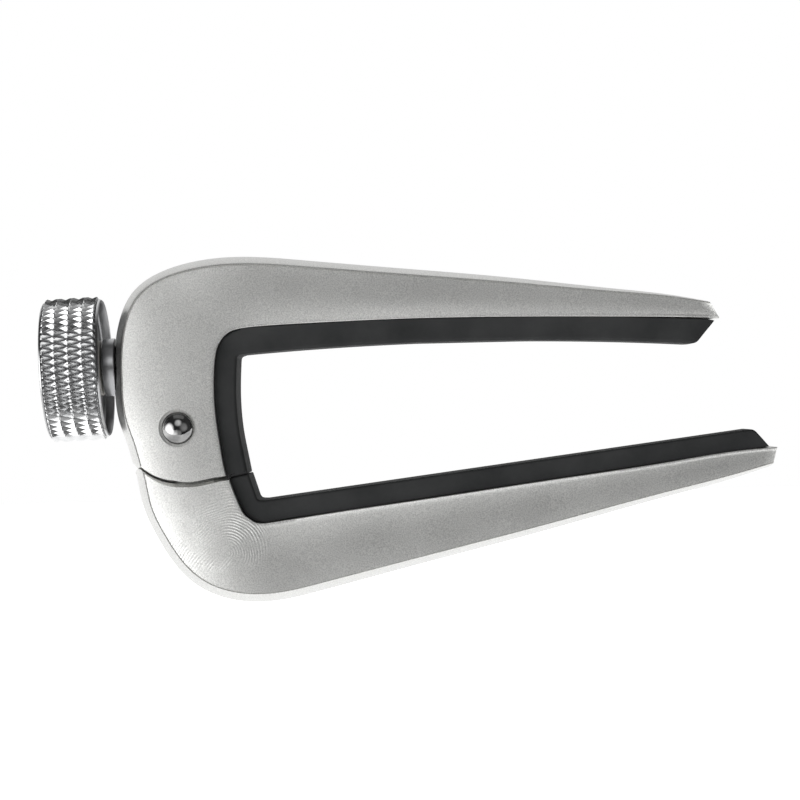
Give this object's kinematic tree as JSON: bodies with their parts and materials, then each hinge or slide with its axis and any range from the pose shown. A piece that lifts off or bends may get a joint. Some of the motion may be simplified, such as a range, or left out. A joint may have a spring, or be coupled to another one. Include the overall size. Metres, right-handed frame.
{
  "type": "guitar capo",
  "caption": "Screw-tightened guitar capo: a hinged neck arm swings on a pivot under a fixed string arm, both lined with rubber pads and drawn together by a knurled thumb screw at the back.",
  "frame": {"origin": "middle of the string pad's pressing face", "axes": "+X along the string pad towards the arm tips, +Z away from the strings, Y across the depth of the arms with the front at -Y"},
  "size_m": [0.0955, 0.0188, 0.0454],
  "materials": {
    "aluminium": "satin, bead-blasted",
    "bright_aluminium": "machined, knurled",
    "rubber": "matt",
    "chrome": "polished",
    "steel": "turned",
    "brass": "turned",
    "nylon": "natural"
  },
  "bodies": {
    "housing": {"upper_arm": "aluminium", "string_pad": "rubber", "pivot_pin": "chrome", "screw_sleeve": "steel", "front_pivot_washer": "nylon", "rear_pivot_washer": "nylon"},
    "neck_arm": {"lower_arm": "aluminium", "neck_pad": "rubber", "pivot_bush": "brass"},
    "thumb_screw": {"thumb_knob": "bright_aluminium", "knob_end_cap": "bright_aluminium", "lead_screw": "steel", "thrust_washer": "nylon", "sleeve_washer": "brass", "retaining_clip": "steel"},
    "trunnion": {"trunnion_nut": "brass"}
  },
  "joints": [
    {"name": "arm_pivot", "type": "hinge", "parent": "housing", "child": "neck_arm", "pos_m": [-0.0382, 0, -0.0104], "axis": [0, 1, 0], "range_deg": [0, 12]},
    {"name": "knob_spin", "type": "hinge", "parent": "housing", "child": "thumb_screw", "pos_m": [-0.04792, 0, -0.0023], "axis": [-0.9993, 0, -0.0384], "range_deg": [0, 1280]},
    {"name": "trunnion_pivot", "type": "hinge", "parent": "neck_arm", "child": "trunnion", "pos_m": [-0.03941, 0, -0.00199], "axis": [0, 1, 0], "range_deg": [-12, 0]}
  ],
  "couplings": [
    {"joint": "arm_pivot", "follows": "knob_spin", "ratio": 0.009375},
    {"joint": "trunnion_pivot", "follows": "knob_spin", "ratio": -0.009375}
  ]
}
